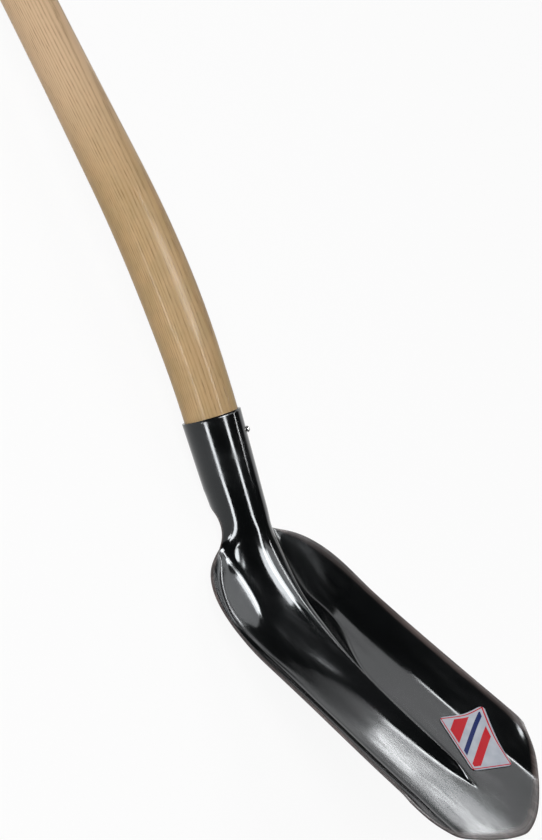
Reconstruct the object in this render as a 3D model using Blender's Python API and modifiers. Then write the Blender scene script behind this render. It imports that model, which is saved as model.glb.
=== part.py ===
"""A narrow trench spade: a pressed steel head on a bent ash handle.

The head is one sheet of steel. Its blade is a shallow tray with a raised rib down the middle, and behind the blade
the same sheet is rolled into a socket with an open seam at the back. One nail, driven through the socket, holds the
handle, and a foil label is stuck to the floor of the blade.

The head is drawn in its own frame: +X to the tip, +Z out of the floor, the origin on the floor's front face where
the socket's axis passes AXIS_HEIGHT above it. Every piece hangs from one empty, which tips that frame back until
the spade lies on its heel and on the end of its handle, at z = 0.
"""

import math

import bmesh
import bpy
from mathutils import Matrix, Vector

MM = 0.001

# The sheet, and the play between it and what sits in it or on it
SHEET = 1.6 * MM
PLAY = 0.3 * MM

# The blade, a tray whose rim is straight at the sides and rounded at the heel and the tip
BLADE_WIDTH = 137 * MM
FLOOR_WIDTH = 90 * MM
WALL_HEIGHT = 15 * MM
WALL_FILLET = 7 * MM
LIP_WIDTH = 5 * MM
LIP_SLOPE = 0.3
HEEL_HEIGHT = 26.5 * MM
HEEL_LENGTH = 80 * MM
HEEL_RUN = 58 * MM
HEEL_RAMP_END_X = 50 * MM
HEEL_BLEND = 5
HEEL_WALL_RUN = 10 * MM
HEEL_START_X = 65 * MM
HEEL_POWER = 2.6
HEEL_SWEEP = 1.5
TIP_X = 276.5 * MM
TIP_CORNER_X = 216 * MM
TIP_POWER = 1.6
FLARE = 2.6 * MM
FLARE_START_X = 90 * MM
TIP_START_X = 150 * MM
TIP_RISE = 2.6 * MM
TIP_WALL_DROP = 5 * MM
TIP_DROP_RUN = 16 * MM
TIP_DROP_LEAD = 5.6 * MM

# The rib, which runs out of the socket's front and stops short of the tip
RIB_HEIGHT = 4.5 * MM
RIB_HALF_WIDTH = 8.5 * MM
SHOULDER_HALF_WIDTH = 24 * MM
SHOULDER_X = 35 * MM
RIB_ROOT_HALF_WIDTH = 36 * MM
RIB_ROOT_X = 65 * MM
RIB_WAIST_X = 118 * MM
RIB_END_X = 224 * MM
RIB_END_RUN = 14 * MM
RIB_END_HALF_WIDTH = 3 * MM
RIB_TAPER = 0.75

# The socket
LIFT = math.radians(42)
AXIS_HEIGHT = 20.4 * MM
SOCKET_LENGTH = 106 * MM
MOUTH_RADIUS = 22 * MM
NECK_RADIUS = 19.8 * MM
NECK_AT = 84 * MM
SEAM_GAP = 1.5 * MM
NECK_HALF_ANGLE = math.radians(100)
WING_CORNER_AT = 50 * MM
WING_END_AT = 70 * MM

# The handle
HANDLE_LENGTH = 1100 * MM
HANDLE_RADIUS = 18.8 * MM
SWELL_RADIUS = 21.2 * MM
SWELL_AT = 90 * MM
SWELL_LENGTH = 330 * MM
SEAT_DEPTH = WING_CORNER_AT - 2 * MM
BEND = math.radians(13.6)
BEND_LENGTH = 190 * MM
END_ROUNDING = 12 * MM
FOOT_CHAMFER = 3 * MM
HANDLE_SIDES = 32
BEND_RINGS = 12
LINE_STEPS = 200

# The nail
NAIL_ANGLE = math.radians(41)
NAIL_AT = 16.5 * MM
NAIL_HEAD_RADIUS = 2.4 * MM
NAIL_HEAD_HEIGHT = 2.3 * MM
NAIL_RIM_HEIGHT = 0.8 * MM
NAIL_RADIUS = 1.4 * MM
NAIL_LENGTH = 26 * MM
NAIL_POINT = 4 * MM
NAIL_SIDES = 20

# The label
LABEL_CENTRE = Vector((203 * MM, 35.5 * MM))
LABEL_LENGTH = 50 * MM
LABEL_WIDTH = 36 * MM
LABEL_THICKNESS = 0.3 * MM
LABEL_TURN = math.radians(-22)
LABEL_CORNER = 4 * MM
LABEL_ROWS = 8
LABEL_COLUMNS = 9

# Sections across the neck, the shoulder and the rib, as shares of their half width and height, each with the shares
# of that height left at the steps over the floor; then those steps, and the steps up the wall to the rim
NECK_ARCH = ((0, 1), (0.25, 0.975), (0.5, 0.90), (0.8, 0.70), (1.0, 0.45), (1.1, 0.25))
SHOULDER_ARCH = ((0, 1), (0.13, 0.995), (0.26, 0.97), (0.54, 0.77), (0.65, 0.62), (0.86, 0.22))
RIB_ARCH = ((0, 1), (0.12, 0.96), (0.26, 0.80), (0.46, 0.46), (0.68, 0.17), (1.0, 0.02))
NECK_WEB = (0.14, 0.06, 0)
SHOULDER_WEB = (0.1, 0.03, 0)
FLOOR_STEPS = (0.15, 0.5, 1.0)
WALL_STEPS = (0.22, 0.5, 0.78, 1.0)
HALF_COLUMNS = len(NECK_ARCH) + len(FLOOR_STEPS) + len(WALL_STEPS) - 1
HEEL_FIRST_ANGLE = math.radians(20)
HEEL_ROWS = 6
HEEL_ROW_GAP = 9 * MM
HEEL_ROW_CROWDING = 1.25
LEAST_FLOOR = 0.4

# Rows of the cage, each set as shares of its stretch: down the socket, round the wing's corner, along the straight
# sides, along the tapering rib, over the rib's blunt end, and on to the tip
SOCKET_ROWS = (0, 0.3, 0.6)
WING_ROWS = (-0.3, -0.05, 0.05, 0.35, 0.68, 1.0)
SIDE_ROWS = (0.22, 0.5, 0.78)
TAPER_ROWS = (0, 0.4, 0.75, 1)
BLUNT_ROWS = (0.5, 1)
TIP_ROWS = (0.22, 0.5, 0.8, 1)

AXIS_DOWN = Vector((math.cos(LIFT), 0, -math.sin(LIFT)))
AXIS_FRONT = Vector((math.sin(LIFT), 0, math.cos(LIFT)))
SIDE = Vector((0, 1, 0))
MOUTH_CENTRE = Vector((0, 0, AXIS_HEIGHT)) - SOCKET_LENGTH * AXIS_DOWN
NECK_FRONT = MOUTH_CENTRE + NECK_AT * AXIS_DOWN + NECK_RADIUS * AXIS_FRONT


def clamp(t):
    return min(1.0, max(0.0, t))


def ease(t):
    t = clamp(t)
    return t * t * (3 - 2 * t)


def mix(a, b, t):
    return a + (b - a) * t


def socket_radius(s):
    """Outer radius of the socket, s down its axis from the mouth."""
    return mix(MOUTH_RADIUS, NECK_RADIUS, s / NECK_AT)


def socket_half_angle(s):
    """How far round to the back the sheet reaches on each side, s down the axis from the mouth."""
    closed = math.pi - SEAM_GAP / (2 * MOUTH_RADIUS)
    return mix(closed, NECK_HALF_ANGLE, clamp((s - WING_CORNER_AT) / (WING_END_AT - WING_CORNER_AT)))


def socket_row(s):
    """Half a ring of cage points round the socket, from its front line to its edge."""
    step = socket_half_angle(s) / HALF_COLUMNS
    pull = (2 + math.cos(step)) / 3
    centre = MOUTH_CENTRE + s * AXIS_DOWN
    row = []
    for j in range(HALF_COLUMNS + 1):
        radius = socket_radius(s) / (1 if j == HALF_COLUMNS else pull)
        angle = j * step
        row.append(centre + radius * (math.cos(angle) * AXIS_FRONT + math.sin(angle) * SIDE))
    return row


def wall_rise(t, run):
    """Share of the wall's height reached at the share t of its run outward: a fillet, a slope and a flatter lip."""
    fillet = min(WALL_FILLET / run, 0.5)
    lip = min(LIP_WIDTH / run, 0.5)

    def climb(v):
        rise = v * v / (2 * fillet) if v < fillet else v - fillet / 2
        past = max(0, v - (1 - lip))
        return rise - (1 - LIP_SLOPE) * past * past / (2 * lip)

    return climb(clamp(t)) / climb(1)


def tray_height(x, y):
    """The front face of the blade's floor, heel and walls, without the rib.

    The heel is a ramp across the blade. It meets the walls, which follow the rim, in a soft crease.
    """
    across = abs(y) / (BLADE_WIDTH / 2)
    behind = max(0.0, (HEEL_START_X - x) / HEEL_LENGTH)
    out = (behind ** HEEL_POWER + across ** HEEL_POWER) ** (1 / HEEL_POWER)
    heel = behind / out if out > 0 else 0
    top = mix(WALL_HEIGHT, HEEL_HEIGHT, heel)
    top -= TIP_WALL_DROP * ease((x - TIP_CORNER_X + TIP_DROP_LEAD) / TIP_DROP_RUN)
    wall_run = mix((BLADE_WIDTH - FLOOR_WIDTH) / 2, HEEL_WALL_RUN, heel)
    from_rim = (1 - out) * mix(BLADE_WIDTH / 2, HEEL_LENGTH, heel)
    wall = clamp(1 - from_rim / wall_run) ** HEEL_BLEND
    ramp = clamp((HEEL_RAMP_END_X - x) / HEEL_RUN) ** HEEL_BLEND
    both = wall + ramp
    up = (both / (1 + ramp)) ** (1 / HEEL_BLEND)
    run = mix(wall_run, HEEL_RUN, ramp / both) if both > 0 else wall_run
    dish = TIP_RISE * clamp((x - TIP_START_X) / (TIP_X - TIP_START_X)) ** 2
    return top * wall_rise(up, run) + dish


def crest_height(x):
    """The front line of neck and rib above the floor, which leaves the socket's front line without a kink."""
    drop = NECK_FRONT.z - RIB_HEIGHT
    height = RIB_HEIGHT + drop * math.exp(-(x - NECK_FRONT.x) * math.tan(LIFT) / drop)
    return height * ease((RIB_END_X - x) / RIB_END_RUN)


def rib_half_width(x):
    root = mix(RIB_ROOT_HALF_WIDTH, RIB_HALF_WIDTH, ease((x - RIB_ROOT_X) / (RIB_WAIST_X - RIB_ROOT_X)))
    point = clamp((x - TIP_START_X) / (RIB_END_X - TIP_START_X))
    return max(RIB_END_HALF_WIDTH, root * (1 - point ** 2) ** RIB_TAPER)


def across_blade(crest_x, edge_y):
    """How far out each point of a row lies, and its share of the rib's height there."""
    blunt = ease(crest_x / SHOULDER_X)
    wide = ease((crest_x - SHOULDER_X) / (RIB_ROOT_X - SHOULDER_X))
    half = mix(mix(NECK_RADIUS, SHOULDER_HALF_WIDTH, blunt), rib_half_width(crest_x), wide)
    points = []
    for neck, shoulder, rib in zip(NECK_ARCH, SHOULDER_ARCH, RIB_ARCH):
        out, up = (mix(mix(a, b, blunt), c, wide) for a, b, c in zip(neck, shoulder, rib))
        points.append((half * out, up))
    foot = points[-1][0]
    floor_end = max(edge_y * FLOOR_WIDTH / BLADE_WIDTH, mix(foot, edge_y, LEAST_FLOOR))
    for t, neck, shoulder in zip(FLOOR_STEPS, NECK_WEB, SHOULDER_WEB):
        points.append((mix(foot, floor_end, t), mix(mix(neck, shoulder, blunt), 0, wide)))
    points += [(mix(floor_end, edge_y, t), 0) for t in WALL_STEPS]
    return points


def spread(x, y, z):
    """A point of the tray, moved out from the middle where the blade flares toward the tip."""
    ramp = ease((x - FLARE_START_X) / (TIP_CORNER_X - FLARE_START_X))
    return Vector((x, y * (1 + ramp * FLARE / (BLADE_WIDTH / 2)), z))


def heel_row(crest_x, edge_x, edge_y):
    """Half a row of cage points that sweeps from the rib's crest back to the rim."""
    row = []
    for y, share in across_blade(crest_x, edge_y):
        x = mix(crest_x, edge_x, (y / edge_y) ** HEEL_SWEEP)
        arch = share * (crest_height(crest_x) - tray_height(crest_x, 0))
        row.append(spread(x, y, tray_height(x, y) + arch))
    return row


def tip_outline_x(y):
    across = clamp(abs(y) / (BLADE_WIDTH / 2))
    return TIP_CORNER_X + (TIP_X - TIP_CORNER_X) * (1 - across ** TIP_POWER) ** (1 / TIP_POWER)


def tip_row(crest_x):
    """Half a row of cage points that bows with the tip's outline, the more the nearer the tip."""
    share = (crest_x - TIP_START_X) / (TIP_X - TIP_START_X)
    row = []
    for y, arch in across_blade(crest_x, BLADE_WIDTH / 2):
        x = mix(TIP_START_X, tip_outline_x(y), share)
        row.append(spread(x, y, tray_height(x, y) + arch * crest_height(crest_x)))
    return row


def heel_rim(angle):
    """A point of the rim round the heel; at a right angle the straight side begins."""
    x = HEEL_START_X - HEEL_LENGTH * abs(math.cos(angle)) ** (2 / HEEL_POWER)
    y = BLADE_WIDTH / 2 * math.sin(angle) ** (2 / HEEL_POWER)
    return x, y


def head_rows():
    """Rows of cage points, from the socket's mouth to the blade's tip."""
    wing = WING_END_AT - WING_CORNER_AT
    stations = [WING_CORNER_AT * t for t in SOCKET_ROWS] + [WING_CORNER_AT + wing * t for t in WING_ROWS]
    rows = [socket_row(s) for s in stations + [NECK_AT]]
    for i in range(HEEL_ROWS):
        t = i / (HEEL_ROWS - 1)
        crest_x = mix(NECK_FRONT.x + HEEL_ROW_GAP, HEEL_START_X - HEEL_ROW_GAP, t ** HEEL_ROW_CROWDING)
        rows.append(heel_row(crest_x, *heel_rim(mix(HEEL_FIRST_ANGLE, math.pi / 2, t))))
    for t in SIDE_ROWS:
        x = mix(HEEL_START_X, TIP_START_X, t)
        rows.append(heel_row(x, x, BLADE_WIDTH / 2))
    blunt_x = RIB_END_X - RIB_END_RUN
    crests = [mix(TIP_START_X, blunt_x, t) for t in TAPER_ROWS]
    crests += [mix(blunt_x, RIB_END_X, t) for t in BLUNT_ROWS]
    crests += [mix(RIB_END_X, TIP_X, t) for t in TIP_ROWS]
    rows += [tip_row(x) for x in crests]
    return rows


def head_cage():
    """The sheet's front face as a coarse grid, mirrored about the middle."""
    verts = []
    faces = []
    for row in head_rows():
        verts += [Vector((p.x, -p.y, p.z)) for p in reversed(row[1:])] + row
    columns = 2 * HALF_COLUMNS + 1
    for i in range(len(verts) // columns - 1):
        for j in range(columns - 1):
            a = i * columns + j
            faces.append((a, a + columns, a + columns + 1, a + 1))
    mesh = bpy.data.meshes.new("head")
    mesh.from_pydata(verts, [], faces)
    mesh.shade_smooth()
    return mesh


def add_object(name, data, collection, material=None, parent=None):
    obj = bpy.data.objects.new(name, data)
    collection.objects.link(obj)
    obj.parent = parent
    if material:
        obj.data.materials.append(material)
    return obj


def cut(obj, cutter):
    boolean = obj.modifiers.new("Cut " + cutter.name, "BOOLEAN")
    boolean.operation = "DIFFERENCE"
    boolean.object = cutter


def make_head(collection, material, parent):
    head = add_object("head", head_cage(), collection, material, parent)
    form = head.modifiers.new("Form", "SUBSURF")
    form.levels = 1
    form.render_levels = 1
    form.boundary_smooth = "PRESERVE_CORNERS"
    sheet = head.modifiers.new("Sheet", "SOLIDIFY")
    sheet.thickness = SHEET
    sheet.offset = -1
    sheet.use_even_offset = True
    return head


def handle_angle(u):
    """Slope of the handle's centreline against the blade's floor, u along it from its foot."""
    return LIFT - BEND * clamp((u - SEAT_DEPTH) / BEND_LENGTH)


def handle_radius(u):
    above = u - SEAT_DEPTH
    if above <= 0:
        return socket_radius(-above) - SHEET - PLAY
    mouth = MOUTH_RADIUS - SHEET - PLAY
    if above < SWELL_AT:
        return mix(mouth, SWELL_RADIUS, ease(above / SWELL_AT))
    return mix(SWELL_RADIUS, HANDLE_RADIUS, ease((above - SWELL_AT) / (SWELL_LENGTH - SWELL_AT)))


def handle_rings():
    """Distances along the centreline, each with the handle's radius there."""
    rings = [(0, handle_radius(0) - FOOT_CHAMFER), (FOOT_CHAMFER, handle_radius(FOOT_CHAMFER))]
    rings += [(u, handle_radius(u)) for u in (SEAT_DEPTH / 2, SEAT_DEPTH)]
    bend = [SEAT_DEPTH + BEND_LENGTH * (i + 1) / BEND_RINGS for i in range(BEND_RINGS)]
    rings += [(u, handle_radius(u)) for u in bend]
    swell_end = SEAT_DEPTH + SWELL_LENGTH
    shaft_end = HANDLE_LENGTH - END_ROUNDING
    rings += [(mix(bend[-1], swell_end, t), handle_radius(mix(bend[-1], swell_end, t))) for t in (0.33, 0.67, 1)]
    rings += [(mix(swell_end, shaft_end, t), HANDLE_RADIUS) for t in (0.33, 0.67)]
    for degrees in (0, 22, 44, 66):
        angle = math.radians(degrees)
        u = shaft_end + END_ROUNDING * math.sin(angle)
        rings.append((u, HANDLE_RADIUS - END_ROUNDING * (1 - math.cos(angle))))
    return rings


def handle_point(u):
    """The centreline's place u along it, in the head's frame."""
    at = MOUTH_CENTRE + SEAT_DEPTH * AXIS_DOWN
    for i in range(LINE_STEPS):
        angle = handle_angle(u * (i + 0.5) / LINE_STEPS)
        at = at + Vector((-math.cos(angle), 0, math.sin(angle))) * (u / LINE_STEPS)
    return at


def make_handle(collection, material, parent):
    curve = bpy.data.curves.new("handle", "CURVE")
    curve.dimensions = "3D"
    curve.bevel_depth = HANDLE_RADIUS
    curve.bevel_resolution = HANDLE_SIDES // 2 - 2
    curve.use_fill_caps = True
    rings = handle_rings()
    line = curve.splines.new("POLY")
    line.points.add(len(rings) - 1)
    for point, (u, radius) in zip(line.points, rings):
        point.co = (*handle_point(u), 1)
        point.radius = radius / HANDLE_RADIUS
    guide = add_object("handle_curve", curve, collection)
    depsgraph = bpy.context.evaluated_depsgraph_get()
    mesh = bpy.data.meshes.new_from_object(guide.evaluated_get(depsgraph))
    bpy.data.objects.remove(guide)
    shape = bmesh.new()
    shape.from_mesh(mesh)
    bmesh.ops.remove_doubles(shape, verts=shape.verts, dist=0.01 * MM)
    shape.to_mesh(mesh)
    shape.free()
    mesh.name = "handle"
    mesh.materials.clear()
    mesh.shade_smooth()
    mesh.set_sharp_from_angle(angle=math.radians(50))
    return add_object("handle", mesh, collection, material, parent)


def nail_frame():
    """The nail's own axis, +Z outward, its origin on the socket's outer face."""
    outward = math.cos(NAIL_ANGLE) * AXIS_FRONT + math.sin(NAIL_ANGLE) * SIDE
    place = MOUTH_CENTRE + NAIL_AT * AXIS_DOWN + socket_radius(NAIL_AT) * outward
    return Matrix.Translation(place) @ outward.to_track_quat("Z", "X").to_matrix().to_4x4()


def turned(name, profile, collection, material, parent):
    """A profile of (radius, height) points, from top to bottom, turned about Z."""
    mesh = bpy.data.meshes.new(name)
    edges = [(i, i + 1) for i in range(len(profile) - 1)]
    mesh.from_pydata([(r, 0, z) for r, z in profile], edges, [])
    obj = add_object(name, mesh, collection, material, parent)
    screw = obj.modifiers.new("Turn", "SCREW")
    screw.steps = NAIL_SIDES
    screw.render_steps = NAIL_SIDES
    screw.use_merge_vertices = True
    screw.merge_threshold = 0.00001
    screw.use_smooth_shade = True
    return obj


def make_nail(collection, material, parent):
    profile = [(0, PLAY + NAIL_HEAD_HEIGHT)]
    for degrees in (68, 45, 22, 0):
        angle = math.radians(degrees)
        dome = (NAIL_HEAD_HEIGHT - NAIL_RIM_HEIGHT) * math.sin(angle)
        profile.append((NAIL_HEAD_RADIUS * math.cos(angle), PLAY + NAIL_RIM_HEIGHT + dome))
    profile += [(NAIL_HEAD_RADIUS, PLAY), (NAIL_RADIUS, PLAY)]
    profile += [(NAIL_RADIUS, NAIL_POINT - NAIL_LENGTH), (0, -NAIL_LENGTH)]
    nail = turned("nail", profile, collection, material, parent)
    nail.matrix_local = nail_frame()
    return nail


def nail_hole(collection, parent):
    """The space that the nail takes in the sheet and the wood, with play all round."""
    radius = NAIL_RADIUS + PLAY
    profile = [(0, NAIL_HEAD_HEIGHT), (radius, NAIL_HEAD_HEIGHT), (radius, NAIL_POINT - NAIL_LENGTH)]
    profile += [(0, -NAIL_LENGTH - PLAY)]
    hole = turned("nail_hole", profile, collection, None, parent)
    hole.matrix_local = nail_frame()
    hole.display_type = "WIRE"
    hole.hide_render = True
    return hole


def label_outline():
    """A rectangle with rounded corners, as a grid of rows that narrow at both ends."""
    rows = []
    half_length = LABEL_LENGTH / 2
    half_width = LABEL_WIDTH / 2
    corner = [LABEL_CORNER * (1 - math.cos(math.radians(a))) for a in (0, 30, 60, 90)]
    stations = [-half_length + c for c in corner]
    inner = half_length - LABEL_CORNER
    stations += [mix(-inner, inner, (i + 1) / LABEL_ROWS) for i in range(LABEL_ROWS - 1)]
    stations += [half_length - c for c in reversed(corner)]
    for x in stations:
        past = max(0.0, abs(x) - inner)
        inset = LABEL_CORNER - math.sqrt(max(0.0, LABEL_CORNER ** 2 - past ** 2))
        rows.append((x, half_width - inset))
    return rows


def make_label(collection, material, parent, head):
    """A thin sheet laid on the blade's floor, PLAY above it."""
    rows = label_outline()
    turn = Matrix.Rotation(LABEL_TURN, 2)
    verts = []
    faces = []
    for x, half in rows:
        for j in range(LABEL_COLUMNS):
            flat = turn @ Vector((x, mix(-half, half, j / (LABEL_COLUMNS - 1)))) + LABEL_CENTRE
            verts.append((*flat, HEEL_HEIGHT))
    for i in range(len(rows) - 1):
        for j in range(LABEL_COLUMNS - 1):
            a = i * LABEL_COLUMNS + j
            faces.append((a, a + LABEL_COLUMNS, a + LABEL_COLUMNS + 1, a + 1))
    mesh = bpy.data.meshes.new("label")
    mesh.from_pydata(verts, [], faces)
    label = add_object("label", mesh, collection, material, parent)
    drape = label.modifiers.new("Lie on the floor", "SHRINKWRAP")
    drape.target = head
    drape.wrap_method = "PROJECT"
    drape.use_project_z = True
    drape.use_negative_direction = True
    drape.use_positive_direction = False
    drape.offset = PLAY
    foil = label.modifiers.new("Foil", "SOLIDIFY")
    foil.thickness = LABEL_THICKNESS
    foil.offset = 1
    return label


def material_of(name, colour, roughness, metallic):
    material = bpy.data.materials.new(name)
    material.use_nodes = True
    shader = material.node_tree.nodes["Principled BSDF"]
    shader.inputs["Base Color"].default_value = (*colour, 1)
    shader.inputs["Roughness"].default_value = roughness
    shader.inputs["Metallic"].default_value = metallic
    return material


def lay_down(root, pieces):
    """Tips the empty until the lowest points of head and handle are level, and sets the spade on z = 0."""
    depsgraph = bpy.context.evaluated_depsgraph_get()
    clouds = []
    for piece in pieces:
        evaluated = piece.evaluated_get(depsgraph)
        mesh = evaluated.to_mesh()
        clouds.append([piece.matrix_world @ v.co for v in mesh.vertices])
        evaluated.to_mesh_clear()
    tilt = 0.0
    for _ in range(30):
        turn = Matrix.Rotation(-tilt, 3, "Y")
        heel, end = [min((turn @ p for p in cloud), key=lambda p: p.z) for cloud in clouds]
        tilt += math.atan2(end.z - heel.z, heel.x - end.x)
    turn = Matrix.Rotation(-tilt, 3, "Y")
    points = [turn @ p for cloud in clouds for p in cloud]
    low = Vector([min(p[i] for p in points) for i in range(3)])
    high = Vector([max(p[i] for p in points) for i in range(3)])
    root.rotation_euler = (0, -tilt, 0)
    root.location = (-(low.x + high.x) / 2, -(low.y + high.y) / 2, -low.z)


def main():
    for obj in list(bpy.data.objects):
        bpy.data.objects.remove(obj)
    spade = bpy.data.collections.new("spade")
    cutters = bpy.data.collections.new("cutters")
    for collection in (spade, cutters):
        bpy.context.scene.collection.children.link(collection)
    root = add_object("spade_root", None, spade)
    steel = material_of("black_lacquered_steel", (0.02, 0.02, 0.022), 0.25, 0.0)
    ash = material_of("lacquered_ash", (0.6, 0.42, 0.25), 0.4, 0.0)
    zinc = material_of("zinc_plated_steel", (0.7, 0.7, 0.7), 0.3, 1.0)
    foil = material_of("printed_foil", (0.6, 0.62, 0.66), 0.4, 0.0)
    head = make_head(spade, steel, root)
    handle = make_handle(spade, ash, root)
    make_nail(spade, zinc, root)
    make_label(spade, foil, root, head)
    hole = nail_hole(cutters, root)
    cut(head, hole)
    cut(handle, hole)
    bpy.context.view_layer.update()
    lay_down(root, (head, handle))


main()
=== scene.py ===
"""A narrow trench spade on a white studio floor: black lacquered steel head, ash handle, nail and label.

The pieces are made again here from the sizes of the solid model, with finer curves and with their finishes,
and each one stands for its solid. The head is drawn in its own frame, as the solids are: +X to the tip, +Z
out of the blade's floor. SPADE_PLACE lays that frame down in the row frame.
"""

import math

import bpy
from mathutils import Euler, Matrix, Vector


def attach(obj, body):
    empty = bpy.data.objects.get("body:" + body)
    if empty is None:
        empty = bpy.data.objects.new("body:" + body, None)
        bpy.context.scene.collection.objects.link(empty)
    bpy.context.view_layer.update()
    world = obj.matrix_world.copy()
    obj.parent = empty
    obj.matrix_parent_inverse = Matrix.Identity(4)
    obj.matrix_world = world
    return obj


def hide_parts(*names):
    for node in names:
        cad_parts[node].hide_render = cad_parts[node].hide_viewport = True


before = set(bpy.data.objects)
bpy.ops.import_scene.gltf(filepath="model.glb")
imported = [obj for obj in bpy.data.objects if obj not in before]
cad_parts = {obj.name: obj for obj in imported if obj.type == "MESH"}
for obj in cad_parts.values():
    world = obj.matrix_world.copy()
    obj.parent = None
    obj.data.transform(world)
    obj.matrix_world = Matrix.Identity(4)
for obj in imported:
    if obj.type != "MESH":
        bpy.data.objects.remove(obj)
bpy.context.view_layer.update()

MM = 0.001

# Where the head's frame lies: tipped back onto the heel and the end of the handle
SPADE_TILT = math.radians(29.829)
SPADE_ORIGIN = Vector((462.024 * MM, 0, -9.384 * MM))
SPADE_PLACE = Matrix.Translation(SPADE_ORIGIN) @ Matrix.Rotation(-SPADE_TILT, 4, "Y")

# The sheet, and the play between it and what sits in it or on it
SHEET = 1.6 * MM
PLAY = 0.3 * MM

# The blade
BLADE_WIDTH = 137 * MM
FLOOR_WIDTH = 90 * MM
WALL_HEIGHT = 15 * MM
WALL_FILLET = 7 * MM
LIP_WIDTH = 5 * MM
LIP_SLOPE = 0.3
HEEL_HEIGHT = 26.5 * MM
HEEL_LENGTH = 80 * MM
HEEL_RUN = 58 * MM
HEEL_RAMP_END_X = 50 * MM
HEEL_BLEND = 5
HEEL_WALL_RUN = 10 * MM
HEEL_START_X = 65 * MM
HEEL_POWER = 2.6
HEEL_SWEEP = 1.5
TIP_X = 276.5 * MM
TIP_CORNER_X = 216 * MM
TIP_POWER = 1.6
FLARE = 2.6 * MM
FLARE_START_X = 90 * MM
TIP_START_X = 150 * MM
TIP_RISE = 2.6 * MM
TIP_WALL_DROP = 5 * MM
TIP_DROP_RUN = 16 * MM
TIP_DROP_LEAD = 5.6 * MM

# The rib
RIB_HEIGHT = 4.5 * MM
RIB_HALF_WIDTH = 8.5 * MM
SHOULDER_HALF_WIDTH = 24 * MM
SHOULDER_X = 35 * MM
RIB_ROOT_HALF_WIDTH = 36 * MM
RIB_ROOT_X = 65 * MM
RIB_WAIST_X = 118 * MM
RIB_END_X = 224 * MM
RIB_END_RUN = 14 * MM
RIB_END_HALF_WIDTH = 3 * MM
RIB_TAPER = 0.75

# The socket
LIFT = math.radians(42)
AXIS_HEIGHT = 20.4 * MM
SOCKET_LENGTH = 106 * MM
MOUTH_RADIUS = 22 * MM
NECK_RADIUS = 19.8 * MM
NECK_AT = 84 * MM
SEAM_GAP = 1.5 * MM
NECK_HALF_ANGLE = math.radians(100)
WING_CORNER_AT = 50 * MM
WING_END_AT = 70 * MM

# The handle
SEAT_CLEARANCE = 2 * MM
HANDLE_LENGTH = 1100 * MM
HANDLE_RADIUS = 18.8 * MM
SWELL_RADIUS = 21.2 * MM
SWELL_AT = 90 * MM
SWELL_LENGTH = 330 * MM
SEAT_DEPTH = WING_CORNER_AT - SEAT_CLEARANCE
BEND = math.radians(13.6)
BEND_LENGTH = 190 * MM
END_ROUNDING = 12 * MM
FOOT_CHAMFER = 3 * MM
HANDLE_SIDES = 72
HANDLE_STEPS = 80
CENTRELINE_STEP = 2 * MM

# Rings over the handle's rounded end, in degrees, and the angle past which it is cut flat
END_ANGLES = (15, 30, 45, 60, 66, 72, 90)
END_FLAT_ANGLE = 66

# The nail
NAIL_ANGLE = math.radians(41)
NAIL_AT = 16.5 * MM
NAIL_HEAD_RADIUS = 2.4 * MM
NAIL_HEAD_HEIGHT = 2.3 * MM
NAIL_RIM_HEIGHT = 0.8 * MM
NAIL_RADIUS = 1.4 * MM
NAIL_LENGTH = 26 * MM
NAIL_POINT = 4 * MM
NAIL_SIDES = 40
NAIL_DOME_ANGLES = (78, 66, 54, 42, 30, 18, 8, 0)

# How near to each other points are joined where a piece closes on itself
WELD_REACH = 0.01 * MM

# The label
LABEL_CENTRE = Vector((203 * MM, 35.5 * MM))
LABEL_LENGTH = 50 * MM
LABEL_WIDTH = 36 * MM
LABEL_THICKNESS = 0.3 * MM
LABEL_TURN = math.radians(-22)
LABEL_CORNER = 4 * MM
LABEL_ROWS = 40
LABEL_COLUMNS = 33

# Sections across the neck, the shoulder and the rib, as shares of their half width and height, each with
# the shares of that height left at the steps over the floor; then those steps, and the steps up the wall
NECK_ARCH = ((0, 1), (0.25, 0.975), (0.5, 0.90), (0.8, 0.70), (1.0, 0.45), (1.1, 0.25))
SHOULDER_ARCH = ((0, 1), (0.13, 0.995), (0.26, 0.97), (0.54, 0.77), (0.65, 0.62), (0.86, 0.22))
RIB_ARCH = ((0, 1), (0.12, 0.96), (0.26, 0.80), (0.46, 0.46), (0.68, 0.17), (1.0, 0.02))
NECK_WEB = (0.14, 0.06, 0)
SHOULDER_WEB = (0.1, 0.03, 0)
FLOOR_STEPS = (0.15, 0.5, 1.0)
WALL_STEPS = (0.22, 0.5, 0.78, 1.0)
HALF_COLUMNS = len(NECK_ARCH) + len(FLOOR_STEPS) + len(WALL_STEPS) - 1

# The least share of the way from the rib's foot to the rim that stays floor, near the neck
LEAST_FLOOR = 0.4

# Rows of the cage round the heel: the first one's place on the rim, and how their crests are spaced
HEEL_FIRST_ANGLE = math.radians(20)
HEEL_ROWS = 6
HEEL_ROW_GAP = 9 * MM
HEEL_ROW_CROWDING = 1.25

# The other rows, each set as shares of its stretch: down the socket, round the wing's corner, along the
# straight sides, along the tapering rib, over the rib's blunt end, and on to the tip
SOCKET_ROWS = (0, 0.3, 0.6)
WING_ROWS = (-0.3, -0.05, 0.05, 0.35, 0.68, 1.0)
SIDE_ROWS = (0.22, 0.5, 0.78)
TAPER_ROWS = (0, 0.4, 0.75, 1)
BLUNT_ROWS = (0.5, 1)
TIP_ROWS = (0.22, 0.5, 0.8, 1)
HEAD_LEVEL = 3

AXIS_DOWN = Vector((math.cos(LIFT), 0, -math.sin(LIFT)))
AXIS_FRONT = Vector((math.sin(LIFT), 0, math.cos(LIFT)))
SIDE = Vector((0, 1, 0))
MOUTH_CENTRE = Vector((0, 0, AXIS_HEIGHT)) - SOCKET_LENGTH * AXIS_DOWN
NECK_FRONT = MOUTH_CENTRE + NECK_AT * AXIS_DOWN + NECK_RADIUS * AXIS_FRONT

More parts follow.
